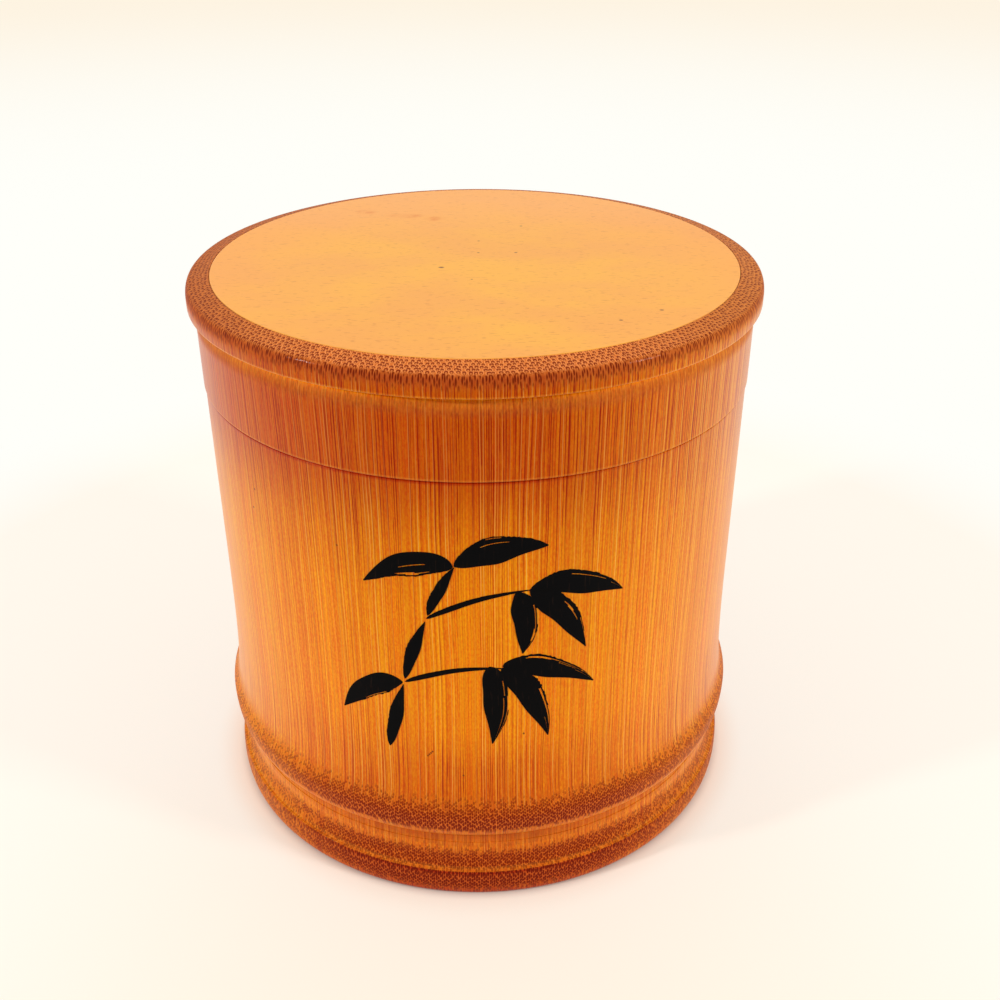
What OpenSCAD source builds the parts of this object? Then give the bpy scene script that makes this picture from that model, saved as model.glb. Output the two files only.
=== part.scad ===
// Round bamboo tea canister. A turned culm tube with a moulded foot takes a push-fit lid,
// which slides on a neck ring glued into the tube. A veneered panel closes the lid and a board the base.
// Millimetres, +Z up, origin on the table at the centre of the foot.

/* [Body] */
// Outer diameter of the straight part of the body
body_d = 90.5; // [76:0.5:120]
// Height of the body, from the table to the lid seam
body_h = 78.4; // [60:0.1:140]
// Wall thickness of the body tube
body_wall = 7.25; // [5.5:0.05:10]
// Chamfer on the two edges that meet at the lid seam
seam_ease = 0.2; // [0.1:0.05:0.5]

/* [Foot mouldings] */
// Height of the foot bead
foot_h = 5.2; // [4:0.1:8]
// How far the foot bead stands out past the straight wall
foot_out = 1.55; // [1:0.05:3]
// How far the foot bead draws back in at the table
foot_ease = 0.9; // [0.4:0.05:1.5]
// Step from the top of the foot bead in to the edge of the cove
foot_step = 0.35; // [0.1:0.05:0.6]
// Height of the cove above the foot bead
cove_h = 5.4; // [4:0.1:9]
// Height of the narrow groove between the cove and the lip
groove_h = 2; // [1.5:0.1:4]
// Depth of the narrow groove, in from the top of the cove
groove_depth = 0.1; // [0.05:0.05:1]
// Height of the lip's sloping underside
lip_under_h = 0.85; // [0.5:0.05:3]
// Height of the lip's rolled band, from its lower edge to its widest part
lip_h = 4.05; // [2.5:0.05:6]
// How far the lip stands out past the straight wall
lip_out = 1.9; // [1:0.05:3]
// How far the lip draws back in at its lower edge
lip_ease = 0.8; // [0.2:0.05:1]
// Height of the rounded shoulder on top of the lip
shoulder_h = 2; // [1:0.1:4]
// Height over which the straight wall sweeps out to the shoulder
flare_h = 24; // [12:0.5:30]

/* [Base board] */
// Thickness of the base board
base_t = 4; // [2.5:0.1:6]
// Height of the base board's underside above the table
base_recess = 2; // [1:0.1:4]
// Width of the ledge in the tube that the base board butts against
base_ledge = 3; // [1.5:0.1:4]

/* [Neck ring] */
// Wall thickness of the neck ring
neck_t = 2; // [1.5:0.1:2.8]
// Depth of the neck ring's seat in the tube, below the seam
neck_seat = 14; // [8:0.5:20]
// Gap between the top of the neck ring and the panel in the lid
neck_headroom = 3.4; // [1:0.1:6]
// Chamfer on the neck ring's upper edges and in the mouth of the lid
lead_in = 0.5; // [0.2:0.1:0.7]

/* [Lid] */
// Height of the lid, from the seam to its face
lid_h = 17.2; // [15:0.1:30]
// How far the lid's skirt stands proud of the body
lid_step = 0.2; // [0:0.05:0.8]
// Height of the bead round the lid, from its underside to the lid's face
rim_h = 4.2; // [3.5:0.1:5]
// How far the bead stands out past the straight wall of the body
rim_out = 1.3; // [0.8:0.05:2.5]
// Width of the ring between the panel and the widest part of the bead
rim_w = 3.9; // [3.2:0.1:4.4]
// How far the crest of the bead lies below the lid's face
rim_drop = 0.65; // [0.2:0.05:1]
// Width of the round on top of the bead
rim_round_w = 1.1; // [0.5:0.05:1.5]
// Height of the round on top of the bead
rim_round_h = 2.2; // [1:0.1:2.5]
// Radius of the bead's lower edge
rim_edge = 0.3; // [0.1:0.05:0.35]
// Height of the cove under the bead
rim_cove_h = 2.4; // [1.5:0.1:4]
// Depth of the cove under the bead, in from the skirt
rim_cove_depth = 0.5; // [0.3:0.05:1]

/* [Lid panel] */
// Thickness of the panel's core board
core_t = 3.2; // [2:0.1:5]
// Thickness of the veneer on the panel's face
veneer_t = 0.6; // [0.4:0.1:1]

/* [Fits] */
// Radial gap between the neck ring and the bore of the lid
slide_gap = 0.15; // [0.1:0.01:0.3]
// Radial gap that the glue fills round each glued-in piece
glue_gap = 0.05; // [0.02:0.01:0.1]

/* [Hidden] */
$fn = 180;

// Number of straight steps in each drawn curve
curve_steps = 10;

// Radii
body_r = body_d / 2;
bore_r = body_r - body_wall;
neck_r = bore_r + neck_t;
lid_bore_r = neck_r + slide_gap;
skirt_r = body_r + lid_step;
rim_r = body_r + rim_out;
panel_r = rim_r - rim_w;
base_r = bore_r + base_ledge;
foot_r = body_r + foot_out;
lip_r = body_r + lip_out;

// Heights of the foot mouldings, from the table up
cove_z = foot_h + cove_h;
groove_z = cove_z + groove_h;
lip_edge_z = groove_z + lip_under_h;
lip_z = lip_edge_z + lip_h;
shoulder_z = lip_z + shoulder_h;
flare_z = shoulder_z + flare_h;
ledge_z = base_recess + base_t;

// Heights of the neck and lid
neck_z = body_h - neck_seat;
face_z = body_h + lid_h;
core_z = face_z - veneer_t - core_t;
neck_top_z = core_z - neck_headroom;
rim_z = face_z - rim_h;
crest_z = face_z - rim_drop;
rim_cove_z = rim_z - rim_cove_h;

// A quarter-like curve that leaves a towards the corner b and arrives at c
function curve(a, b, c) =
    [for (i = [0:curve_steps]) let (t = i / curve_steps)
        (1 - t) * (1 - t) * a + 2 * t * (1 - t) * b + t * t * c];

// The point at which the lip's rounded shoulder turns into the hollow sweep of the wall
shoulder = [body_r + lip_out * 3 / 5, shoulder_z];

// The foot mouldings, from the table up to the straight wall
foot_outline = concat(
    curve([foot_r - foot_ease, 0], [foot_r, 0], [foot_r, foot_h / 2]),
    curve([foot_r, foot_h / 2], [foot_r, foot_h], [foot_r - foot_step, foot_h]),
    curve([foot_r - 2 * foot_step, foot_h], [body_r, foot_h + cove_h / 4], [body_r, cove_z]),
    [[body_r - groove_depth, cove_z], [body_r - groove_depth, groove_z]],
    curve([lip_r - lip_ease, lip_edge_z], [lip_r, lip_edge_z + lip_h / 4], [lip_r, lip_z]),
    curve([lip_r, lip_z], [lip_r, lip_z + shoulder_h / 3], shoulder),
    curve(shoulder, [body_r, lip_z + shoulder_h * 2], [body_r, flare_z])
);

// The bead and cove of the lid, from the skirt up to the panel
rim_outline = concat(
    curve([skirt_r, rim_cove_z], [skirt_r, rim_cove_z + rim_cove_h / 4],
        [skirt_r - rim_cove_depth / 2, rim_cove_z + rim_cove_h / 2]),
    curve([skirt_r - rim_cove_depth / 2, rim_cove_z + rim_cove_h / 2],
        [skirt_r - rim_cove_depth, rim_z - rim_cove_h / 4], [skirt_r - rim_cove_depth, rim_z]),
    curve([rim_r - rim_edge, rim_z], [rim_r, rim_z], [rim_r, rim_z + rim_edge]),
    curve([rim_r, crest_z - rim_round_h], [rim_r, crest_z], [rim_r - rim_round_w, crest_z]),
    [[panel_r + rim_drop, face_z - rim_drop / 4], [panel_r, face_z]]
);

module turned(outline) {
    rotate_extrude() polygon(outline);
}

module body_tube() {
    color("peru") turned(concat(
        foot_outline,
        [[body_r, body_h - seam_ease], [body_r - seam_ease, body_h]],
        [[neck_r + glue_gap, body_h], [neck_r + glue_gap, neck_z], [bore_r, neck_z]],
        [[bore_r, ledge_z], [base_r + glue_gap, ledge_z], [base_r + glue_gap, 0]]
    ));
}

module base_board() {
    color("burlywood") translate([0, 0, base_recess]) cylinder(r = base_r, h = base_t);
}

module neck_ring() {
    color("tan") turned([
        [bore_r, neck_z], [neck_r, neck_z],
        [neck_r, neck_top_z - lead_in], [neck_r - lead_in, neck_top_z],
        [bore_r + lead_in, neck_top_z], [bore_r, neck_top_z - lead_in]
    ]);
}

module lid_ring() {
    color("peru") turned(concat(
        [[lid_bore_r + lead_in, body_h], [skirt_r - seam_ease, body_h], [skirt_r, body_h + seam_ease]],
        rim_outline,
        [[panel_r, core_z], [lid_bore_r, core_z], [lid_bore_r, body_h + lead_in]]
    ));
}

module lid_core() {
    color("burlywood") translate([0, 0, core_z]) cylinder(r = panel_r - glue_gap, h = core_t);
}

module lid_veneer() {
    color("sandybrown") translate([0, 0, face_z - veneer_t]) cylinder(r = panel_r - glue_gap, h = veneer_t);
}

body_tube();
base_board();
neck_ring();
lid_ring();
lid_core();
lid_veneer();
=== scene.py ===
"""The looks of a turned bamboo tea canister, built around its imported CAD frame.

Each CAD node is lathed again from its own outline, with fine segments and eased edges. The bamboo is one
solid pattern in the culm's own coordinates, so its fibres run as streaks down a straight wall and show as
dots where a moulding cuts across them. Metres, +Z up, with the photograph's viewer on the -Y side.
"""

import math
import random
from collections import namedtuple

import bmesh
import bpy
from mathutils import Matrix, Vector


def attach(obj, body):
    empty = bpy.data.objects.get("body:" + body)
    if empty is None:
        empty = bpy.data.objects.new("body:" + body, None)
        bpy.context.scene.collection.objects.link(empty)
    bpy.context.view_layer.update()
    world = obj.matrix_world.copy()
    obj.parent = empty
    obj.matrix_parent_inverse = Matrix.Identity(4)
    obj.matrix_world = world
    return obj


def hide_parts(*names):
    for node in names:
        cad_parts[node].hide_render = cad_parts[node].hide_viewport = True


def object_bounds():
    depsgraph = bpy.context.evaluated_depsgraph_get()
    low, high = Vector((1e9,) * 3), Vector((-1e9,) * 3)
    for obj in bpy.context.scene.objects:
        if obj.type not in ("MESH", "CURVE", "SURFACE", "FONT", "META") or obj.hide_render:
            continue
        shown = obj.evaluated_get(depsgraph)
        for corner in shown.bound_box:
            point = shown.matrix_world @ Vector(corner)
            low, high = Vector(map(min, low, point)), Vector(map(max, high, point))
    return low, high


MM = 0.001

# Lathe: segments round the axis, how far the pieces keep inside the CAD model, how close two points count
# as one, and how a sharp edge is eased: radius, share of a side it may take, sharp turn and steps
SEGMENTS = 288
INSET = 0.02 * MM
WELD = 0.002 * MM
ARRIS = 0.12 * MM
EASE_SHARE = 0.25
SHARP_TURN = math.radians(32)
ARC_STEPS = 5

# Camera: sensor width, focal length and place in millimetres, tilt, and nearest distance in metres
SENSOR_WIDTH = 36.0
LENS = 42.16
CAMERA_PLACE = (3.98, -186.0, 155.3)
CAMERA_TILT = math.radians(29.48)
NEAREST = 5 * MM

# The patterns below are in millimetres. Arcs run to the right from the front, and shares from 0 to 1. Two
# values for a change are where it begins and where it is full. A cut is written going down the wall, as the
# heights at which it begins, is full, begins to fade and ends, and its share.

# The body's fibre bundles, in columns along the radius: the pitch in a column, the pitch of the columns,
# and the half sizes of the largest bundle in pitches, which are smaller in the neck ring
BODY_STEP = 0.8
BODY_COLUMN = 0.34
BODY_BUNDLE = (0.58, 0.64)
NECK_BUNDLE = (0.4, 0.4)

# Those on the lid's top, in rows round the axis: the pitch in a row, that of the rows, and the half sizes
LID_STEP = 0.8
LID_ROW = 0.6
LID_BUNDLE = (0.42, 0.64)

# Long cut ends on the side of the lid's bead: the pitch down a column, that of columns, and the half sizes
DROP_STEP = 1.7
DROP_COLUMN = 0.36
DROP_BUNDLE = (0.54, 0.48)

# How far a row of bundles is shifted against the next, how far the bundles scatter, the size of the
# smallest against the largest, and how much of a bundle is solid in a cut and on a side
ROW_SHIFT = 0.5
SCATTER = 0.42
SMALLEST = 0.8
SOLID_CUT = 0.75
SOLID_SIDE = 0.55

# A bundle on the lid's top, in its half sizes: how far out its pale eye lies, the eye's edge, how far it
# hides the sheath, how pale it is, and the pale ring round the bundle, written as a cut is
EYE_OUT = 0.4
EYE_EDGE = (0.6, 0.32)
EYE_HIDES = 0.8
EYE_PALE = 0.3
PALE_RING = (0.85, 1.1, 1.2, 1.7, 0.45)

# Where the body's mouldings cut across the fibres, how far the fibres lean out there for each millimetre of
# height, and the arcs over which the cuts fade to the left and the right, with the share that is left. The
# fade is painted sheen: paler cut ends on the sides as seen from the front.
LIP_CUT = (23.0, 17.2, 15.6, 13.6, 1.0)
COVE_CUT = (10.6, 7.2, 5.6, 4.7, 0.9)
FOOT_CUT = (5.22, 5.14, 3.0, -0.6, 1.0)
LEAN = 0.8
CUT_FADES = [(-16.0, -44.0, 0.6), (16.0, 44.0, 0.72)]

# Where a moulding is cut plain, without dots: the groove under the lip and the cove under the lid's bead
GROOVE_CUT = (13.7, 13.4, 10.6, 8.5, 0.6)
RIM_COVE_CUT = (90.8, 90.1, 89.4, 87.6, 0.6)

# The lid's bead: the heights over which its side turns from streaks to cut ends, its crest, the heights
# over which its top begins, the arcs over which painted shade darkens that top to either side as seen from
# the front, and by how much
BEAD_CUT = (91.8, 94.5)
BEAD_CREST = 94.95
BEAD_TOP = (BEAD_CREST - 0.5, BEAD_CREST - 0.1)
BEAD_SIDES = (22.0, 50.0)
BEAD_SIDE_SHADE = 0.28

# Level cut faces inside the walls: how deep below the wall's face they lie, how level they are, from 0 on
# an upright wall to 1, and the heights over which they end, so that the lid's top isn't one of them
INSIDE = (0.2, 0.6)
LEVEL = (0.3, 0.7)
UNDER_TOP = (90.0, 89.0)

# How a cut brings out the bundles: the cut at which the last one begins to show, the further cut at which
# it shows in full, and how strongly the bundles show in a slight cut and in a full one
LAST_SHOWN = 0.7
SHOWN_AFTER = 0.3
SHOWN = (0.3, 0.95)

# How dark the wood is by height: stops of (height, share of the stain and shade). It is partly the
# carbonised wood's own colour and partly painted shade, darker towards the top of the body and on the lid,
# with painted shadow lines at the seam and on top of the foot's bead; the low share in the cove under the
# lid's bead is painted light.
BODY_STAIN_AND_SHADE = [
    (0, 0.95), (2.4, 0.45), (4.0, 0.34), (4.6, 0.5), (4.9, 0.95), (5.14, 0.95), (5.18, 0.24), (5.6, 0.2),
    (6.5, 0.25), (7.4, 0.28), (9.0, 0.25), (9.7, 0.24), (10.2, 0.12), (10.6, 0.06), (11.0, 0.2),
    (11.6, 0.3), (13.4, 0.28), (14.2, 0.25), (15.4, 0.05), (17.0, 0.05), (22.0, 0.45), (27.0, 0.34),
    (34.0, 0.06), (40.0, 0), (58.0, 0), (68.0, 0.2), (76.0, 0.58), (78.0, 0.66), (78.15, 1.0), (78.4, 1.0),
]
LID_STAIN_AND_SHADE = [
    (78.4, 1.0), (78.55, 0.66), (87.6, 0.7), (88.7, 0.6), (89.4, 0.39), (90.2, 0.02), (91.3, 0.0),
    (91.8, 0.62), (92.6, 0.6), (93.4, 0.58), (94.2, 0.55), (94.9, 0.1), (95.6, 0),
]

# The share of the stain and shade left at the far right, where less of it is painted light for the side
# that the right softbox lights more, and the corner low on the left in which it fades: the heights, the
# places across and how far it fades
RIGHT_STAIN_AND_SHADE = 0.3
CORNER_HEIGHTS = (40.0, 30.0)
CORNER_ACROSS = (-8.0, -40.0)
CORNER_FADE = 0.7

# Painted highlights on the edges of the mouldings: the heights between which they lie and how strong they
# are, and the shares between which the fibres break them up
BODY_EDGE_HIGHLIGHTS = [(5.25, 5.6, 0.05), (13.45, 13.7, 0.05)]
LID_EDGE_HIGHLIGHTS = [(78.6, 78.8, 0.12), (91.4, 91.7, 0.08)]
HIGHLIGHT_BREAKS = (0.5, 1.5)

# Lines along the fibres of a wall: their pitch round the axis, their half width, and the strength, drawn
# from 0 to 1, above which a line shows. Below 0 every line shows. Then how far they scatter, and how much
# of one is solid.
FINE_LINES = (0.42, 0.1, -0.5)
DARK_LINES = (0.7, 0.1, 0.25)
PALE_LINES = (0.5, 0.08, 0.4)
LINE_SCATTER = 0.8
LINE_SOLID = 0.3

# How strong the lines are: the places across over which they fade to the left and the share left there,
# their strength where there is no stain or painted shade and where it is full, and on the least and the
# most of a noise
BOLD_FADE = (-14.0, -42.0, 0.6)
BOLD_BY_STAIN_AND_SHADE = (0.8, 3.0)
FINE_BY_HATCH = (0.35, 0.95)
DARK_BY_LASTING = (0.5, 1.0)
PALE_BY_LASTING = (1.0, 0.4)

# A noise: its stretch along the fibres, a shift that sets it apart from the others, its scale per
# millimetre, its detail and its roughness
Layer = namedtuple("Layer", "stretch shift scale detail roughness")

# Noises of the culm: how its fibres wander in the wall and round it, how far, and what shows along them
DEPTH_WANDER = Layer(0.2, 0.0, 0.2, 2.0, 0.5)
ROUND_WANDER = Layer(0.2, 0.0, 0.13, 2.0, 0.5)
DEPTH_REACH = 0.5
ROUND_REACH = 0.6
STREAK = Layer(0.004, 0.0, 2.6, 2.0, 0.6)
FIBRE = Layer(0.4, 5.0, 4.0, 2.0, 0.6)
LASTING = Layer(0.03, 3.0, 1.5, 1.0, 0.5)
HATCH = Layer(0.12, 9.0, 2.0, 1.0, 0.5)
BROAD = Layer(0.12, 0.0, 0.16, 2.0, 0.5)

# Noises of the lid's face, the boards and the ink
MOTTLE = Layer(0.6, 0.0, 0.06, 4.0, 0.6)
FACE_FIBRE = Layer(0.05, 0.0, 3.0, 3.0, 0.6)
FLECK = Layer(0.35, 7.0, 2.4, 2.0, 0.5)
CLOUD = Layer(1.0, 3.0, 0.35, 3.0, 0.5)
BOARD_FIBRE = Layer(0.03, 0.0, 2.4, 3.0, 0.6)
DRY_INK = Layer(0.1, 0.0, 3.0, 2.0, 0.6)

# The levels of a noise between which it counts from 0 to 1, and those of the noises that differ
LEVELS = (0.35, 0.65)
STREAK_LEVELS = (0.38, 0.62)
HATCH_LEVELS = (0.35, 0.6)
FLECK_LEVELS = (0.58, 0.7)
CLOUD_LEVELS = (0.4, 0.65)
BOARD_LEVELS = (0.3, 0.7)
DRY_LEVELS = (0.6, 0.8)

# Shares of the culm's colours: the streaks and the fibres in its tone, the bundles and the dark lines on
# its sides, the broad tint, the raw wood in all and on level cut faces, the depths at which the wood is
# raw, and the arcs over which its sides as seen from the front take a painted tint against the sheen there
STREAK_TONE = 0.45
FIBRE_TONE = 0.55
BUNDLE_SHARE = 0.2
DARK_SHARE = 0.9
BROAD_SHARE = 0.5
RAW_SHARE = 0.75
RAW_LEVEL = 0.6
RAW_DEPTH = (2.6, 4.6)
SHEEN_TINT_ARCS = (18.0, 50.0)

# Shares of the face's colours, how far in front of the middle its blush starts from, the distances over
# which it grows, how the mottle varies it, the places over which the painted sheen at the back sets in, and
# how clouds break up a smudge
BLUSH_SHARE = 0.6
BACK_SHEEN_SHARE = 0.35
GRAIN_SHARE = 0.3
FLECK_SHARE = 0.32
BLUSH_FRONT = 12.0
BLUSH_EDGE = (18.0, 52.0)
BLUSH_BY_MOTTLE = (0.3, 1.5)
BACK_SHEEN_EDGE = (8.0, 36.0)
SMUDGE_BY_CLOUD = (0.2, 0.85)

# Surfaces: roughness on the least and the most of a noise, what a cut adds to it, lacquer, index of
# refraction, and relief as a strength and a depth in metres
WALL_ROUGHNESS = (0.26, 0.36)
CUT_ROUGHNESS = 0.5
FACE_ROUGHNESS = (0.36, 0.48)
INK_ROUGHNESS = (0.5, 0.7)
BOARD_ROUGHNESS = 0.62
BODY_GLOSS = 0.05
LID_GLOSS = 0.06
COAT_ROUGHNESS = 0.08
WOOD_IOR = 1.5
BOARD_IOR = 1.4
INK_IOR = 1.1
WALL_BUMP = (0.35, 0.02 * MM)
WALL_RELIEF = 0.5
FACE_BUMP = (0.15, 0.02 * MM)
FACE_RELIEF = 0.3
BOARD_BUMP = (0.3, 0.03 * MM)

# Linear colours. Ends are those of a cut across the fibres: light and deep wood, and the bundles' sheaths.
Ends = namedtuple("Ends", "light deep sheath")
BODY_ENDS = Ends((0.68, 0.15, 0.02), (0.54, 0.1, 0.01), (0.18, 0.008, 0.001))
LID_ENDS = Ends((0.73, 0.197, 0.03), (0.59, 0.128, 0.015), (0.2, 0.015, 0.001))
SIDE_LIGHT = (1.0, 0.42, 0.003)
SIDE_DEEP = (0.92, 0.19, 0.001)
SIDE_LINE = (0.48, 0.03, 0.001)
SIDE_PALE = (1.0, 0.57, 0.09)
SHEEN_SIDE_TINT = (0.91, 1.0, 0.8)
RIM_HALO = (0.95, 0.4, 0.13)
STAIN_AND_SHADE = (0.53, 0.07, 0.1)
BROAD_TINT = (0.8, 0.7, 0.7)
RAW_BAMBOO = (0.72, 0.4, 0.16)
SPECK = (0.14, 0.025, 0.002)
FACE_LIGHT = (0.87, 0.43, 0.05)
FACE_DEEP = (0.83, 0.365, 0.06)
FACE_BLUSH = (0.88, 0.34, 0.082)
FACE_BACK_SHEEN = (0.9, 0.45, 0.15)
FACE_GRAIN = (0.78, 0.27, 0.035)
FACE_FLECK = (0.5, 0.14, 0.02)
FACE_SMUDGE = (0.74, 0.22, 0.02)
BOARD_LIGHT = (0.74, 0.48, 0.24)
BOARD_DEEP = (0.58, 0.33, 0.14)
BOARD_JOINT = (0.25, 0.11, 0.04)
INK_BLACK = (0.0025, 0.0025, 0.003)
INK_THIN = (0.02, 0.011, 0.008)
FLOOR_MATT = (0.95, 0.84, 0.74)
FLOOR_CONTACT_SHADOW = (0.45, 0.34, 0.3)
FLOOR_SHADE_PATCH = (1.0, 0.9, 0.78)
FLOOR_GLOW = (1.0, 1.0, 0.95)
FLOOR_FAR = (0.99, 0.9, 0.76)
SURROUND = (1.0, 0.965, 0.87)
SPECULAR_TINT = (0.4, 0.12, 0.0)

# Small blemishes: (arc, height) of the specks on the wall, (x, y, half width) of those on the lid's face,
# and (x, y, half length) of the smudges there. Then the half sizes of a wall's speck, how much longer than
# wide a face's speck is, the half width of a smudge, and how much of a blemish is solid.
WALL_SPECKS = [
    (-37.3, 69.4), (-38.2, 65.9), (-20.5, 65.6), (7.7, 33.5), (-7.4, 29.1), (-7.15, 29.4), (-6.9, 29.7),
    (-6.65, 30.0), (-1.8, 25.6),
]
FACE_SPECKS = [
    (-5.4, -4.9, 0.42), (0.4, 2.7, 0.22), (6.6, 2.8, 0.26), (21.2, -28.4, 0.28), (27.5, -24.3, 0.3),
    (0.35, 9.2, 0.2), (-0.4, -10.7, 0.18), (7.7, 18.0, 0.24),
]
FACE_SMUDGES = [(-20.7, 26.9, 2.6), (-13.0, 24.4, 4.4), (-7.8, 22.6, 2.6)]
SPECK_HALF = (0.22, 0.26)
SPECK_LENGTH = 1.5
SMUDGE_HALF = 1.9
SPOT_SOLID = 0.3

# Boards: the width of a strip, the joint's edge in strip widths from the middle of a strip, and the shares
# of the strips' own tone and of the joint's colour
STRIP_WIDTH = 17.0
JOINT_EDGE = (0.488, 0.498)
STRIP_TONE = 0.35
JOINT_SHARE = 0.5

# Ink: the thickness of the film, how far it sinks into the wall, and how far inside the straight wall's
# radius the wall's outside may lie
INK_FILM = 0.05
INK_SINK = 0.05
WALL_SLACK = 0.5

# Brush: steps and hairs in each millimetre, the least of both, the share of a stroke from which a hair runs
# dry and that for which it does, and a share past the end for a hair that never runs dry
STEPS_PER_MM = 3
HAIRS_PER_MM = 6
LEAST_STEPS = 16
LEAST_HAIRS = 4
DRY_FROM = (0.2, 0.9)
DRY_FOR = (0.1, 0.6)
NEVER_DRY = 2.0

# Outline of a stroke: how full it swells, its share of the width at the tips, how far and how fast its
# edges sway, and how ragged the drier edge is
SWELL = 0.8
TIP = 0.04
SWAY = 0.07
SWAY_SPEED = 11
RAGGED = (0.94, 1.05)

# Strokes of the stalk, the twigs and the leaves: the width, where along the stroke it is full, and how dry
# the brush is. The taper makes each length of stalk narrower than the last. The seed sets the draws.
STALK_WIDTH = 2.3
STALK_TAPER = 0.25
STALK_BELLY = 0.45
STALK_DRY = 0.15
TWIG_WIDTH = 0.9
TWIG_BELLY = 0.3
LEAF_WIDTH = (3.6, 4.4)
LEAF_BELLY = (0.36, 0.46)
LEAF_DRY = 0.6
SPRIG_SEED = 4

# Floor: its half width in metres, and in millimetres from the canister's axis the ring of painted contact
# shadow where the foot meets it, the edges of the patch of painted shade and how far in front that lies,
# the far tint, where it turns into the room, where the seen shadow lightens and ends, and where the floor
# no longer reflects light
FLOOR_HALF = 6.0
CONTACT_SHADOW_RING = (48.2, 45.6)
CONTACT_SHADOW_SHARE = 0.8
SHADE_PATCH_EDGE = (120.0, 20.0)
SHADE_PATCH_FRONT = 100.0
FAR_TINT = (400.0, 1300.0)
INTO_ROOM = (1500.0, 4500.0)
SHADOW_LIFT = (45.5, 53.0)
SHADOW_SHARES = (0.1, 0.58)
SHADOW_END = (85.0, 185.0)
REFLECTION_END = (110.0, 400.0)

# Room: the directions towards the viewer over which it darkens, and its strength there and elsewhere
ROOM_TURN = (-0.8, -0.1)
ROOM_STRENGTH = (0.28, 1.0)

# Softboxes, in metres and watts: the place of the right one, which the left one mirrors, power and sizes
LAMP_PLACE = (0.66, -0.3, 0.36)
LAMP_POWER = 2.9
LEFT_LAMP = 0.06
RIGHT_LAMP = 0.12

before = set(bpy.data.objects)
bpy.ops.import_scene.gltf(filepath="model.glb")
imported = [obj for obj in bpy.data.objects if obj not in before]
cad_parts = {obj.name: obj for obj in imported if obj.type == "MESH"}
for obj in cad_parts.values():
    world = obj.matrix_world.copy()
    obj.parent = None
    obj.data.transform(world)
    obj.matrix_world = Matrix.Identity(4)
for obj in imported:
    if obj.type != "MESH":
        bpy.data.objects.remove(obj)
cad_low, cad_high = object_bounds()


# Turned pieces

def turned_outline(node):
    """The (radius, height) outline of a turned CAD node: its mesh folded onto a half-plane and welded.

    A ring gives a closed outline. A solid disc gives an open one, which is carried on to the axis at both
    ends.
    """
    flat = bmesh.new()
    flat.from_mesh(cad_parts[node].data)
    for vertex in flat.verts:
        vertex.co = Vector((math.hypot(vertex.co.x, vertex.co.y), 0, vertex.co.z))
    bmesh.ops.remove_doubles(flat, verts=flat.verts, dist=WELD)
    ends = [vertex for vertex in flat.verts if len(vertex.link_edges) == 1]
    closed = not ends
    here = min(ends or flat.verts, key=lambda vertex: vertex.co.z)
    walked = []
    while here:
        walked.append(here)
        ahead = [edge.other_vert(here) for edge in here.link_edges]
        here = next((vertex for vertex in ahead if vertex not in walked), None)
    outline = [Vector((vertex.co.x, vertex.co.z)) for vertex in walked]
    flat.free()
    if not closed:
        outline = [Vector((0, outline[0].y)), *outline, Vector((0, outline[-1].y))]
    area = sum(a.cross(b) for a, b in zip(outline, outline[1:] + outline[:1]))
    if area < 0:
        outline.reverse()
    return outline, closed


def eased(outline, closed):
    """The outline with each sharp corner rounded to the arris, and a support point on either side of it."""
    result = []
    for i, corner in enumerate(outline):
        at_end = not closed and i in (0, len(outline) - 1)
        before = outline[i - 1]
        after = outline[(i + 1) % len(outline)]
        turn = 0 if at_end else (corner - before).angle(after - corner)
        if turn < SHARP_TURN:
            result.append(corner)
            continue
        into = (corner - before).normalized()
        out = (after - corner).normalized()
        room = EASE_SHARE * min((corner - before).length, (after - corner).length)
        reach = min(ARRIS * math.tan(turn / 2), room)
        start = corner - into * reach
        end = corner + out * reach
        result.append(start - into * reach)
        for step in range(ARC_STEPS + 1):
            t = step / ARC_STEPS
            result.append((1 - t) ** 2 * start + 2 * t * (1 - t) * corner + t * t * end)
        result.append(end + out * reach)
    return result


def lathe(name, outline, closed):
    """A smooth mesh object that turns the outline about Z."""
    mesh = bmesh.new()
    rings = []
    for point in outline:
        spokes = 1 if point.x < WELD else SEGMENTS
        radius = max(point.x - INSET, 0)
        ring = []
        for i in range(spokes):
            angle = 2 * math.pi * i / SEGMENTS
            ring.append(mesh.verts.new((radius * math.cos(angle), radius * math.sin(angle), point.y)))
        rings.append(ring)
    pairs = list(zip(rings, rings[1:] + rings[:1]))
    for low, high in pairs if closed else pairs[:-1]:
        for i in range(SEGMENTS):
            j = (i + 1) % SEGMENTS
            corners = [low[i % len(low)], low[j % len(low)], high[j % len(high)], high[i % len(high)]]
            face = mesh.faces.new(list(dict.fromkeys(corners)))
            face.smooth = True
    return new_object(name, mesh)


def new_object(name, mesh):
    """An object in the scene from a bmesh, which is used up."""
    data = bpy.data.meshes.new(name)
    mesh.to_mesh(data)
    mesh.free()
    piece = bpy.data.objects.new(name, data)
    bpy.context.scene.collection.objects.link(piece)
    return piece


# Materials

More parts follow.
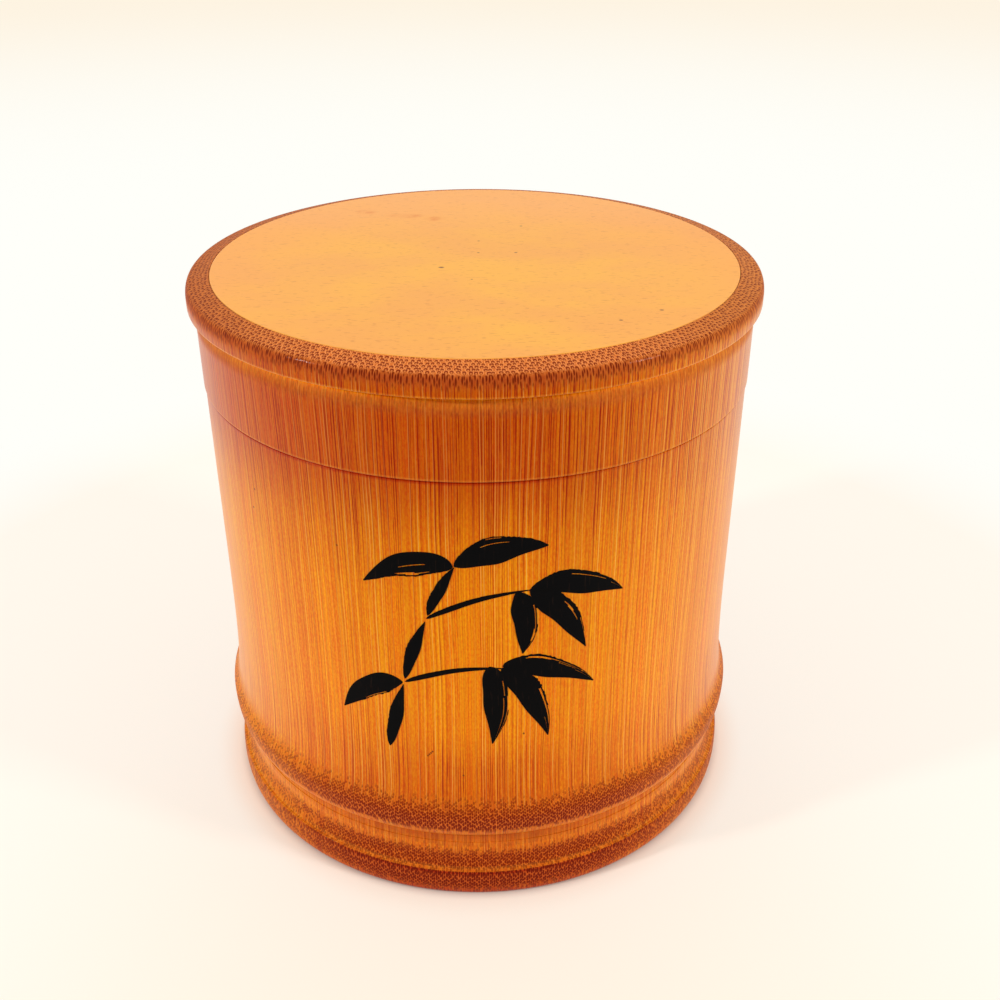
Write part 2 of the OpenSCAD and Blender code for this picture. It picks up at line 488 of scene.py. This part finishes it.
class Graph:
    """The node tree of a material or a world, with a short call for each kind of node used here."""

    def __init__(self, owner):
        owner.use_nodes = True
        self.owner = owner
        self.tree = owner.node_tree

    def plug(self, socket, value):
        """Links a socket to the input, or sets the input to a value."""
        if isinstance(value, bpy.types.NodeSocket):
            self.tree.links.new(value, socket)
        elif value is not None:
            socket.default_value = value

    def node(self, kind, *values, **settings):
        node = self.tree.nodes.new(kind)
        for key, value in settings.items():
            setattr(node, key, value)
        for socket, value in zip(node.inputs, values):
            self.plug(socket, value)
        return node

    def named(self, kind, inputs, **settings):
        """A node whose inputs are given by name."""
        node = self.node(kind, **settings)
        for name, value in inputs.items():
            self.plug(node.inputs[name], value)
        return node

    def math(self, operation, *values):
        return self.node("ShaderNodeMath", *values, operation=operation).outputs[0]

    def add(self, a, b):
        return self.math("ADD", a, b)

    def less(self, a, b):
        return self.math("SUBTRACT", a, b)

    def times(self, a, b):
        return self.math("MULTIPLY", a, b)

    def most(self, a, b):
        return self.math("MAXIMUM", a, b)

    def vector(self, x=0.0, y=0.0, z=0.0):
        return self.node("ShaderNodeCombineXYZ", x, y, z).outputs[0]

    def split(self, vector):
        return self.node("ShaderNodeSeparateXYZ", vector).outputs[:3]

    def length(self, x, y):
        return self.node("ShaderNodeVectorMath", self.vector(x, y), operation="LENGTH").outputs["Value"]

    def step(self, value, low, high):
        """A smooth step from 0 at low to 1 at high. It falls instead where low is above high."""
        inputs = {"Value": value, "From Min": low, "From Max": high}
        return self.named("ShaderNodeMapRange", inputs, interpolation_type="SMOOTHSTEP").outputs["Result"]

    def spread(self, value, low, high):
        """Stretches a value from 0 to 1 onto low to high."""
        return self.add(self.times(value, high - low), low)

    def ramp(self, value, stops):
        """A level that runs straight from one (value, level) stop to the next."""
        low, high = stops[0][0], stops[-1][0]
        share = self.named("ShaderNodeMapRange", {"Value": value, "From Min": low, "From Max": high})
        node = self.node("ShaderNodeValToRGB", share.outputs["Result"])
        elements = node.color_ramp.elements
        elements.remove(elements[1])
        for at, level in stops[1:]:
            elements.new((at - low) / (high - low)).color = (level, level, level, 1.0)
        elements[0].color = (stops[0][1],) * 3 + (1.0,)
        return node.outputs["Color"]

    def band(self, value, low, high):
        """1 between two values, with soft ends."""
        soft = (high - low) / 2
        return self.times(self.step(value, low - soft, low), self.step(value, high + soft, high))

    def fade(self, value, begin, end, left):
        """1 where the value is short of begin, fading to the share left at end."""
        return self.spread(self.step(value, begin, end), 1.0, left)

    def between(self, value, begin, full, fade, end, share):
        """The share where the value lies between full and fade, falling off to 0 at begin and end."""
        return self.times(self.times(self.step(value, begin, full), self.step(value, end, fade)), share)

    def noise(self, layer, x, y, z):
        """The noise of a Layer at a place."""
        inputs = {"Vector": self.vector(x, y, z), "Scale": layer.scale, "Detail": layer.detail,
                  "Roughness": layer.roughness}
        return self.named("ShaderNodeTexNoise", inputs).outputs["Fac"]

    def blend(self, share, low, high):
        """A value that goes from low to high by share."""
        return self.add(self.times(high, share), self.times(low, self.less(1.0, share)))

    def mix(self, share, low, high, blend="MIX"):
        node = self.node("ShaderNodeMix", data_type="RGBA", blend_type=blend)
        for index, setting in ((0, share), (6, rgba(low)), (7, rgba(high))):
            self.plug(node.inputs[index], setting)
        return node.outputs[2]

    def spot(self, x, y, middle, half_x, half_y):
        """1 in the middle of a small oval mark, 0 outside it."""
        across = self.times(self.less(x, middle[0]), 1 / half_x)
        along = self.times(self.less(y, middle[1]), 1 / half_y)
        return self.step(self.length(across, along), 1.0, SPOT_SOLID)

    def place(self):
        """The point on the piece in millimetres."""
        coordinates = self.node("ShaderNodeTexCoord")
        scaled = self.node("ShaderNodeVectorMath", coordinates.outputs["Object"], operation="SCALE")
        scaled.inputs["Scale"].default_value = 1 / MM
        return scaled.outputs["Vector"]

    def slope(self):
        """0 on an upright wall, 1 on a level face."""
        normal = self.node("ShaderNodeTexCoord").outputs["Normal"]
        return self.math("ABSOLUTE", self.split(normal)[2])

    def bump(self, height, strength, depth):
        """A bump of that depth in metres."""
        inputs = {"Strength": strength, "Distance": depth, "Height": height}
        return self.named("ShaderNodeBump", inputs).outputs["Normal"]

    def finish(self, colour, roughness, normal=None, **constants):
        """Plugs the shader. The constants are its other sockets, such as Coat_Weight."""
        shader = self.tree.nodes["Principled BSDF"]
        self.plug(shader.inputs["Base Color"], colour)
        self.plug(shader.inputs["Roughness"], roughness)
        self.plug(shader.inputs["Normal"], normal)
        if "Coat_Weight" in constants:
            self.plug(shader.inputs["Coat Normal"], normal)
        for name, value in constants.items():
            shader.inputs[name.replace("_", " ")].default_value = value
        return self.owner

    def seen_as_background(self):
        """1 for a ray from the camera, or off a glossy or clear surface, and 0 for one that only lights."""
        path = self.node("ShaderNodeLightPath").outputs
        seen = self.most(path["Is Camera Ray"], path["Is Glossy Ray"])
        return self.most(seen, path["Is Transmission Ray"])


def rgba(colour):
    """A colour as four numbers, or a socket as it is."""
    return colour if isinstance(colour, bpy.types.NodeSocket) else (*colour, 1.0)


def new_graph(name):
    return Graph(bpy.data.materials.new(name))


def bundles(g, along, across, half_sizes):
    """The culm's fibre bundles, as the place from the middle of the nearest one, 1 at its edge.

    The place has two values, along a row of bundles and across the rows. The bundles lie one pitch apart
    along each row. along and across are counted in pitches, and so are the half sizes of the largest
    bundle. A third value from 0 to 1 is drawn at random for each bundle.
    """
    place = g.vector(g.add(along, g.times(across, ROW_SHIFT)), across)
    cells = g.named("ShaderNodeTexVoronoi", {"Vector": place, "Scale": 1.0, "Randomness": SCATTER},
                    voronoi_dimensions="2D")
    from_middle = g.node("ShaderNodeVectorMath", place, cells.outputs["Position"], operation="SUBTRACT")
    shifted, row, _ = g.split(from_middle.outputs["Vector"])
    chances = g.node("ShaderNodeSeparateColor", cells.outputs["Color"]).outputs
    size = g.spread(chances[0], SMALLEST, 1.0)
    half_along, half_across = half_sizes
    u = g.math("DIVIDE", g.less(shifted, g.times(row, ROW_SHIFT)), g.times(size, half_along))
    v = g.math("DIVIDE", row, g.times(size, half_across))
    return u, v, chances[1]


def edge_highlights(g, height, edges):
    """How strongly the painted edge highlight shows at a height, from its two edge bands."""
    bands = [g.times(g.band(height, low, high), share) for low, high, share in edges]
    return g.most(*bands)


# The grain at a point of a piece, each value from 0 to 1: a bundle's dark sheath, the pale wood round it,
# the whole bundle, the bundle's chance value, the cut across the fibres, the stain with its painted shade,
# and the painted edge highlight
Grain = namedtuple("Grain", "sheath halo whole chance cut stain edge")


def body_grain(g, arc, depth, height):
    """The grain of the body by arc, depth in the wall and height."""
    groove = g.between(height, *GROOVE_CUT)
    cut = groove
    for moulding in (LIP_CUT, COVE_CUT, FOOT_CUT):
        begin, end = moulding[0], moulding[3]
        depth = g.add(depth, g.times(g.step(height, begin, end), LEAN * (begin - end)))
        cut = g.most(cut, g.between(height, *moulding))
    # Painted sheen: the dark cut ends fade on the sides as seen from the front
    for begin, end, left in CUT_FADES:
        cut = g.times(cut, g.fade(arc, begin, end, left))
    column = g.times(arc, 1 / BODY_COLUMN)
    outward, round_wall, chance = bundles(g, g.times(depth, 1 / BODY_STEP), column, BODY_BUNDLE)
    whole = g.step(g.length(outward, round_wall), 1.0, SOLID_CUT)
    sheath = g.times(whole, g.less(1.0, groove))
    return Grain(sheath, 0.0, whole, chance, cut, g.ramp(height, BODY_STAIN_AND_SHADE), edge_highlights(g, height, BODY_EDGE_HIGHLIGHTS))


def lid_grain(g, arc, depth, height):
    """As body_grain, for the lid: bundles with pale eyes on top, long ends on its bead and a plain cove."""
    row = g.times(depth, 1 / LID_ROW)
    round_wall, outward, top_chance = bundles(g, g.times(arc, 1 / LID_STEP), row, LID_BUNDLE)
    from_middle = g.length(round_wall, outward)
    whole = g.step(from_middle, 1.0, SOLID_CUT)
    eye = g.step(g.length(round_wall, g.less(outward, EYE_OUT)), *EYE_EDGE)
    on_top = g.times(whole, g.less(1.0, g.times(eye, EYE_HIDES)))

    below_crest = g.times(g.less(BEAD_CREST, height), 1 / DROP_STEP)
    column = g.times(arc, 1 / DROP_COLUMN)
    down, round_side, side_chance = bundles(g, below_crest, column, DROP_BUNDLE)
    on_side = g.step(g.length(down, round_side), 1.0, SOLID_SIDE)

    top = g.step(height, *BEAD_TOP)
    halo = g.times(top, g.add(g.times(eye, EYE_PALE), g.between(from_middle, *PALE_RING)))
    cove = g.between(height, *RIM_COVE_CUT)
    cut = g.most(g.step(height, *BEAD_CUT), cove)
    sheath = g.times(g.blend(top, on_side, on_top), g.less(1.0, cove))
    chance = g.blend(top, side_chance, top_chance)
    # Painted shade: the bead's top darkens towards either side as seen from the front
    to_side = g.step(g.math("ABSOLUTE", arc), *BEAD_SIDES)
    stain = g.add(g.ramp(height, LID_STAIN_AND_SHADE), g.times(g.times(to_side, top), BEAD_SIDE_SHADE))
    return Grain(sheath, halo, whole, chance, cut, stain, edge_highlights(g, height, LID_EDGE_HIGHLIGHTS))


def neck_grain(g, arc, depth, _height):
    """As body_grain, for a plain straight ring."""
    column = g.times(arc, 1 / BODY_COLUMN)
    outward, round_wall, chance = bundles(g, g.times(depth, 1 / BODY_STEP), column, NECK_BUNDLE)
    whole = g.step(g.length(outward, round_wall), 1.0, SOLID_SIDE)
    return Grain(whole, 0.0, whole, chance, 0.0, 0.0, 0.0)


def hair_lines(g, around, pitch, half, shows_above):
    """Fine lines of random strength down a wall, 1 on the strongest and 0 beside a line.

    around is the arc round the wall, half is the half width of a line, and a line shows where the strength
    drawn for it is above shows_above.
    """
    inputs = {"W": g.times(around, 1 / pitch), "Scale": 1.0, "Randomness": LINE_SCATTER}
    cells = g.named("ShaderNodeTexVoronoi", inputs, voronoi_dimensions="1D")
    strength = g.node("ShaderNodeSeparateColor", cells.outputs["Color"]).outputs[0]
    on_line = g.step(cells.outputs["Distance"], half / pitch, LINE_SOLID * half / pitch)
    return g.times(on_line, g.step(strength, shows_above, 1.0))


def culm_bamboo(name, grain_at, ends, gloss):
    """Carbonised and lacquered bamboo with upright fibres, and sanded bare bamboo deeper in the wall.

    grain_at gives the Grain at a point, ends are the colours of a cut across the fibres, and gloss is the
    weight of the lacquer's clear coat.
    """
    g = new_graph(name)
    x, y, z = g.split(g.place())
    radius = g.length(x, y)
    arc = g.times(g.math("ARCTAN2", x, g.times(y, -1.0)), CULM_RADIUS)

    def wander(layer, reach):
        """A slow drift of the fibres, by up to reach either way."""
        return g.spread(g.noise(layer, x, y, g.times(z, layer.stretch)), -reach, reach)

    around = g.add(arc, wander(ROUND_WANDER, ROUND_REACH))
    grain = grain_at(g, around, g.add(radius, wander(DEPTH_WANDER, DEPTH_REACH)), z)
    below_wall = g.less(CULM_RADIUS, radius)
    level = g.times(g.step(g.slope(), *LEVEL), g.step(z, *UNDER_TOP))
    end_face = g.times(level, g.step(below_wall, *INSIDE))
    cut = g.most(grain.cut, end_face)
    begins = g.times(grain.chance, LAST_SHOWN)
    shown = g.times(g.step(cut, begins, g.add(begins, SHOWN_AFTER)), g.spread(cut, *SHOWN))
    sheath = g.times(grain.sheath, shown)

    to_wall = g.math("DIVIDE", CULM_RADIUS, radius)
    wall_x = g.times(x, to_wall)
    wall_y = g.times(y, to_wall)
    corner = g.times(g.times(g.step(z, *CORNER_HEIGHTS), g.step(wall_x, *CORNER_ACROSS)), CORNER_FADE)
    # Less stain and shade towards the right: painted light where the right softbox lights the wall more
    stain = g.times(grain.stain, g.fade(wall_x, 0.0, CULM_RADIUS, RIGHT_STAIN_AND_SHADE))
    stain = g.times(stain, g.less(1.0, g.most(end_face, corner)))

    def fibres(layer):
        """A noise that changes fast round the wall and slowly along its height."""
        return g.noise(layer, wall_x, wall_y, g.add(g.times(z, layer.stretch), layer.shift))

    streak = g.step(fibres(STREAK), *STREAK_LEVELS)
    fibre = fibres(FIBRE)
    lasting = g.step(fibres(LASTING), *LEVELS)
    hatch = g.step(fibres(HATCH), *HATCH_LEVELS)
    bold = g.times(g.fade(wall_x, *BOLD_FADE), g.spread(grain.stain, *BOLD_BY_STAIN_AND_SHADE))
    fine_line = g.times(hair_lines(g, around, *FINE_LINES), g.spread(hatch, *FINE_BY_HATCH))
    dark_line = g.most(hair_lines(g, around, *DARK_LINES), fine_line)
    dark_line = g.times(dark_line, g.times(g.spread(lasting, *DARK_BY_LASTING), bold))
    pale_line = hair_lines(g, around, *PALE_LINES)
    pale_line = g.times(pale_line, g.times(g.spread(lasting, *PALE_BY_LASTING), bold))

    tone = g.add(g.times(streak, STREAK_TONE), g.times(g.step(fibre, *LEVELS), FIBRE_TONE))
    side = g.mix(tone, SIDE_DEEP, SIDE_LIGHT)
    side = g.mix(g.times(grain.whole, BUNDLE_SHARE), side, SIDE_LINE)
    side = g.mix(g.times(dark_line, DARK_SHARE), side, SIDE_LINE)
    side = g.mix(pale_line, side, SIDE_PALE)
    colour = g.mix(cut, side, g.mix(tone, ends.deep, ends.light))
    colour = g.mix(grain.halo, colour, RIM_HALO)
    colour = g.mix(sheath, colour, ends.sheath)
    # The stain's colour, multiplied in for the carbonised wood's darker colour and for painted shade
    colour = g.mix(stain, colour, STAIN_AND_SHADE, "MULTIPLY")
    colour = g.mix(g.times(fibres(BROAD), BROAD_SHARE), colour, BROAD_TINT, "MULTIPLY")
    # Painted tint against the sheen on the sides as seen from the front: less red and blue there
    colour = g.mix(g.step(g.math("ABSOLUTE", arc), *SHEEN_TINT_ARCS), colour, SHEEN_SIDE_TINT, "MULTIPLY")
    # Painted highlights along the moulding edges, in the pale side colour
    colour = g.mix(g.times(grain.edge, g.spread(fibre, *HIGHLIGHT_BREAKS)), colour, SIDE_PALE)
    raw = g.most(g.step(below_wall, *RAW_DEPTH), g.times(end_face, RAW_LEVEL))
    colour = g.mix(g.times(raw, RAW_SHARE), colour, RAW_BAMBOO)
    for middle in WALL_SPECKS:
        colour = g.mix(g.spot(arc, z, middle, *SPECK_HALF), colour, SPECK)

    relief = g.times(g.less(streak, grain.whole), WALL_RELIEF)
    roughness = g.add(g.spread(fibre, *WALL_ROUGHNESS), g.times(cut, CUT_ROUGHNESS))
    return g.finish(colour, roughness, g.bump(relief, *WALL_BUMP), Coat_Weight=gloss,
                    Coat_Roughness=COAT_ROUGHNESS, IOR=WOOD_IOR, Specular_Tint=rgba(SPECULAR_TINT))


def face_veneer(name):
    """Smooth bamboo-skin veneer, its grain along X, with clouds, flecks, a few specks, rosier edges and a
    painted sheen towards the back.
    """
    g = new_graph(name)
    x, y, _ = g.split(g.place())

    def along_x(layer):
        """A noise that is stretched along X."""
        return g.noise(layer, g.times(x, layer.stretch), y, layer.shift)

    mottle = along_x(MOTTLE)
    grain = along_x(FACE_FIBRE)
    fleck = g.step(along_x(FLECK), *FLECK_LEVELS)
    cloud = g.step(along_x(CLOUD), *CLOUD_LEVELS)
    from_front = g.length(x, g.add(y, BLUSH_FRONT))
    blush = g.times(g.step(from_front, *BLUSH_EDGE), g.spread(mottle, *BLUSH_BY_MOTTLE))
    colour = g.mix(g.step(mottle, *LEVELS), FACE_DEEP, FACE_LIGHT)
    colour = g.mix(g.times(blush, BLUSH_SHARE), colour, FACE_BLUSH)
    # Painted sheen: the face turns paler towards the back
    colour = g.mix(g.times(g.step(y, *BACK_SHEEN_EDGE), BACK_SHEEN_SHARE), colour, FACE_BACK_SHEEN)
    colour = g.mix(g.times(grain, GRAIN_SHARE), colour, FACE_GRAIN)
    colour = g.mix(g.times(fleck, FLECK_SHARE), colour, FACE_FLECK)
    for at_x, at_y, half in FACE_SMUDGES:
        spot = g.spot(x, y, (at_x, at_y), half, SMUDGE_HALF)
        colour = g.mix(g.times(spot, g.spread(cloud, *SMUDGE_BY_CLOUD)), colour, FACE_SMUDGE)
    for at_x, at_y, half in FACE_SPECKS:
        colour = g.mix(g.spot(x, y, (at_x, at_y), half * SPECK_LENGTH, half), colour, SPECK)
    relief = g.add(g.times(grain, FACE_RELIEF), mottle)
    return g.finish(colour, g.spread(mottle, *FACE_ROUGHNESS), g.bump(relief, *FACE_BUMP), IOR=WOOD_IOR,
                    Specular_Tint=rgba(SPECULAR_TINT))


def strip_board(name):
    """Sanded board glued up from bamboo strips that lie along X."""
    g = new_graph(name)
    x, y, z = g.split(g.place())
    strip_at = g.times(y, 1 / STRIP_WIDTH)
    tone = g.node("ShaderNodeTexWhiteNoise", g.vector(g.math("FLOOR", strip_at))).outputs["Value"]
    from_middle = g.math("ABSOLUTE", g.less(g.math("FRACT", strip_at), 0.5))
    joint = g.step(from_middle, *JOINT_EDGE)
    fibre = g.noise(BOARD_FIBRE, g.times(x, BOARD_FIBRE.stretch), y, z)
    colour = g.mix(g.step(fibre, *BOARD_LEVELS), BOARD_DEEP, BOARD_LIGHT)
    colour = g.mix(g.times(tone, STRIP_TONE), colour, BOARD_DEEP)
    colour = g.mix(g.times(joint, JOINT_SHARE), colour, BOARD_JOINT)
    return g.finish(colour, BOARD_ROUGHNESS, g.bump(g.less(fibre, joint), *BOARD_BUMP), IOR=BOARD_IOR)


def brushed_ink(name):
    """Black ink, thinner where the brush ran dry along the wall's fibres."""
    g = new_graph(name)
    x, y, z = g.split(g.place())
    dry = g.noise(DRY_INK, x, y, g.times(z, DRY_INK.stretch))
    colour = g.mix(g.step(dry, *DRY_LEVELS), INK_BLACK, INK_THIN)
    return g.finish(colour, g.spread(dry, *INK_ROUGHNESS), IOR=INK_IOR)


# The brushed sprig on the front of the body

def wall_radius(height):
    """The radius of the body's outer wall at a height, both in millimetres."""
    outside = [point / MM for point in body_outline if point.x / MM > CULM_RADIUS - WALL_SLACK]
    below = max((point for point in outside if point.y <= height), key=lambda point: point.y)
    above = min((point for point in outside if point.y > height), key=lambda point: point.y)
    share = (height - below.y) / (above.y - below.y)
    return below.x + share * (above.x - below.x)


def on_wall(arc, height, lift):
    """The point on the body's wall at an arc and a height, raised by lift, all given in millimetres."""
    angle = arc / CULM_RADIUS
    radius = wall_radius(height) + lift
    return Vector((radius * math.sin(angle), -radius * math.cos(angle), height)) * MM


def brush_stroke(mesh, points, width, belly, dry):
    """Adds one stroke of a loaded brush: hairs side by side along a bent line, widest at belly.

    points are the line's start, bend and end as (arc, height), and width is in millimetres too. belly is a
    share of the line's length, and dry is the share of hairs on the drier side that leave a bare streak.
    """
    start, bend, end = (Vector(point) for point in points)
    steps = max(LEAST_STEPS, round((end - start).length * STEPS_PER_MM))
    hairs = max(LEAST_HAIRS, round(width * HAIRS_PER_MM))
    to_belly = math.log(0.5) / math.log(belly)
    sway = [random.uniform(0, 2 * math.pi) for _ in range(2)]
    bare = []
    for hair in range(hairs):
        dried = random.random() < dry * (2 * hair / hairs - 1)
        leaves_off = random.uniform(*DRY_FROM) if dried else NEVER_DRY
        bare.append((leaves_off, leaves_off + random.uniform(*DRY_FOR)))
    rows = []
    for step in range(steps + 1):
        t = step / steps
        middle = (1 - t) ** 2 * start + 2 * t * (1 - t) * bend + t * t * end
        ahead = ((1 - t) * (bend - start) + t * (end - bend)).normalized()
        across = Vector((-ahead.y, ahead.x))
        swell = math.sin(math.pi * t ** to_belly) ** SWELL
        half = width / 2 * max(swell, TIP)
        halves = [half * (1 + SWAY * math.sin(SWAY_SPEED * t + phase)) for phase in sway]
        row = []
        for hair in range(hairs + 1):
            edge = 2 * hair / hairs - 1
            ragged = random.uniform(*RAGGED) if hair == hairs else 1.0
            place = middle + across * edge * halves[edge > 0] * ragged
            row.append(mesh.verts.new(on_wall(place.x, place.y, -INK_SINK)))
        rows.append(row)
    for step, (row, next_row) in enumerate(zip(rows, rows[1:])):
        for hair, (leaves_off, takes_up) in enumerate(bare):
            if not leaves_off < step / steps < takes_up:
                mesh.faces.new((row[hair], row[hair + 1], next_row[hair + 1], next_row[hair]))


def ink_sprig():
    """A sprig of leaves on a jointed stalk, brushed in ink."""
    stalk = [
        ((-13.6, 30.0), (-12.6, 36.0), (-10.9, 42.6)),
        ((-10.6, 43.8), (-9.4, 49.5), (-7.1, 54.8)),
        ((-6.7, 56.0), (-5.2, 60.4), (-2.6, 64.6)),
    ]
    twigs = [
        ((-10.6, 43.2), (-3.0, 47.4), (5.0, 46.4)),
        ((-6.9, 55.4), (0.5, 60.2), (9.0, 60.3)),
    ]
    leaves = [
        ((4.4, 46.9), (11.5, 47.6), (19.0, 41.4)),
        ((4.2, 46.5), (9.6, 42.6), (11.6, 32.6)),
        ((2.4, 46.9), (4.4, 40.5), (2.8, 32.0)),
        ((8.6, 60.6), (15.5, 62.2), (23.4, 57.2)),
        ((8.4, 60.4), (14.0, 57.0), (17.4, 48.4)),
        ((6.4, 60.2), (8.8, 55.5), (7.4, 49.0)),
        ((-2.6, 64.8), (3.4, 69.0), (11.0, 67.6)),
        ((-2.8, 64.6), (-9.4, 66.6), (-16.4, 60.6)),
        ((-11.0, 43.0), (-16.6, 42.8), (-21.4, 35.6)),
    ]
    random.seed(SPRIG_SEED)
    mesh = bmesh.new()
    for number, points in enumerate(stalk):
        brush_stroke(mesh, points, STALK_WIDTH - STALK_TAPER * number, STALK_BELLY, STALK_DRY)
    for points in twigs:
        brush_stroke(mesh, points, TWIG_WIDTH, TWIG_BELLY, 0.0)
    for points in leaves:
        width = random.uniform(*LEAF_WIDTH)
        belly = random.uniform(*LEAF_BELLY)
        brush_stroke(mesh, points, width, belly, LEAF_DRY)
    loose = [vertex for vertex in mesh.verts if not vertex.link_faces]
    bmesh.ops.delete(mesh, geom=loose, context="VERTS")
    raised = bmesh.ops.extrude_face_region(mesh, geom=mesh.faces[:])["geom"]
    for vertex in raised:
        if isinstance(vertex, bmesh.types.BMVert):
            out = Vector((vertex.co.x, vertex.co.y, 0)).normalized()
            vertex.co += out * (INK_SINK + INK_FILM) * MM
    bmesh.ops.recalc_face_normals(mesh, faces=mesh.faces)
    return new_object("ink_sprig", mesh)


# Stage

def pale_floor():
    """A wide floor, seen as plain warm white far off, which keeps a soft part of the object's shadow.

    A painted contact shadow darkens a narrow ring where the foot meets it, and a patch of painted shade
    lies in front of the canister. Only its near part reflects light onto the object, as a sheet of paper
    would.
    """
    mesh = bmesh.new()
    bmesh.ops.create_grid(mesh, x_segments=1, y_segments=1, size=FLOOR_HALF)
    floor = new_object("floor", mesh)
    g = new_graph("floor")
    x, y, _ = g.split(g.place())
    away = g.length(x, y)
    seen = g.seen_as_background()
    # Painted contact shadow in a ring where the foot meets the floor
    contact_shadow = g.times(g.step(away, *CONTACT_SHADOW_RING), CONTACT_SHADOW_SHARE)
    matt = g.node("ShaderNodeBsdfDiffuse", g.mix(contact_shadow, FLOOR_MATT, FLOOR_CONTACT_SHADOW)).outputs[0]
    # Painted shade: a warmer, darker patch of the floor in front of the canister, on the viewer's side
    viewer_shade = g.step(g.length(x, g.add(y, SHADE_PATCH_FRONT)), *SHADE_PATCH_EDGE)
    glow = g.mix(viewer_shade, FLOOR_GLOW, FLOOR_SHADE_PATCH)
    glow = g.mix(g.step(away, *FAR_TINT), glow, FLOOR_FAR)
    glow = g.mix(g.step(away, *INTO_ROOM), glow, SURROUND)
    light = g.node("ShaderNodeEmission", glow, seen).outputs[0]
    lifted = g.spread(g.step(away, *SHADOW_LIFT), *SHADOW_SHARES)
    near = g.times(seen, g.most(lifted, g.step(away, *SHADOW_END)))
    far = g.step(away, *REFLECTION_END)
    both = g.node("ShaderNodeMixShader", g.most(near, far), matt, light).outputs[0]
    g.tree.nodes.remove(g.tree.nodes["Principled BSDF"])
    g.plug(g.tree.nodes["Material Output"].inputs["Surface"], both)
    floor.data.materials.append(g.owner)


def soft_lamp(name, place, aim, size, power):
    """A square softbox at a place, turned to aim. Metres and watts."""
    data = bpy.data.lights.new(name, "AREA")
    data.size = size
    data.energy = power
    lamp = bpy.data.objects.new(name, data)
    lamp.location = place
    lamp.rotation_euler = (Vector(aim) - Vector(place)).to_track_quat("-Z", "Y").to_euler()
    bpy.context.scene.collection.objects.link(lamp)


def studio():
    """A white room, darker on the viewer's side, with a softbox on either side, the left one smaller."""
    g = Graph(bpy.data.worlds.new("room"))
    background = g.tree.nodes["Background"]
    background.inputs["Color"].default_value = rgba(SURROUND)
    _, backward, _ = g.split(g.node("ShaderNodeTexCoord").outputs["Generated"])
    room = g.spread(g.step(backward, *ROOM_TURN), *ROOM_STRENGTH)
    g.plug(background.inputs["Strength"], g.most(room, g.seen_as_background()))
    bpy.context.scene.world = g.owner

    middle = (cad_low + cad_high) / 2
    across, along, up = LAMP_PLACE
    soft_lamp("left_softbox", (-across, along, up), middle, LEFT_LAMP, LAMP_POWER)
    soft_lamp("right_softbox", (across, along, up), middle, RIGHT_LAMP, LAMP_POWER)


def photo_camera():
    """The camera that took the photograph."""
    data = bpy.data.cameras.new("camera")
    data.sensor_width = SENSOR_WIDTH
    data.lens = LENS
    data.clip_start = NEAREST
    camera = bpy.data.objects.new("camera", data)
    camera.location = Vector(CAMERA_PLACE) * MM
    camera.rotation_euler = (math.pi / 2 - CAMERA_TILT, 0, 0)
    bpy.context.scene.collection.objects.link(camera)
    bpy.context.scene.camera = camera


# The canister
body_outline, _ = turned_outline("body_tube")
seam = max(point.y for point in body_outline)

# The radius of the straight wall, just under the seam, in millimetres
CULM_RADIUS = max(point.x for point in body_outline if point.y > seam - 1 * MM) / MM

board = strip_board("strip_board")
TURNED = [
    # CAD node, piece, body, record slot, material
    ("body_tube", "turned_body", "body", "turned_bamboo",
     culm_bamboo("body_bamboo", body_grain, BODY_ENDS, BODY_GLOSS)),
    ("base_board", "base_disc", "body", "board", board),
    ("neck_ring", "neck_sleeve", "body", "neck_bamboo",
     culm_bamboo("neck_bamboo", neck_grain, BODY_ENDS, 0.0)),
    ("lid_ring", "turned_lid", "lid", "turned_bamboo",
     culm_bamboo("lid_bamboo", lid_grain, LID_ENDS, LID_GLOSS)),
    ("lid_core", "lid_backing", "lid", "board", board),
    ("lid_veneer", "lid_face", "lid", "panel_veneer", face_veneer("face_veneer")),
]
for node, name, body, slot, material in TURNED:
    outline, closed = turned_outline(node)
    piece = lathe(name, eased(outline, closed), closed)
    piece.data.materials.append(material)
    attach(piece, body)
    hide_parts(node)

sprig = ink_sprig()
sprig.data.materials.append(brushed_ink("brushed_ink"))
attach(sprig, "body")

photo_camera()
pale_floor()
studio()
bpy.context.scene.view_settings.view_transform = "Standard"
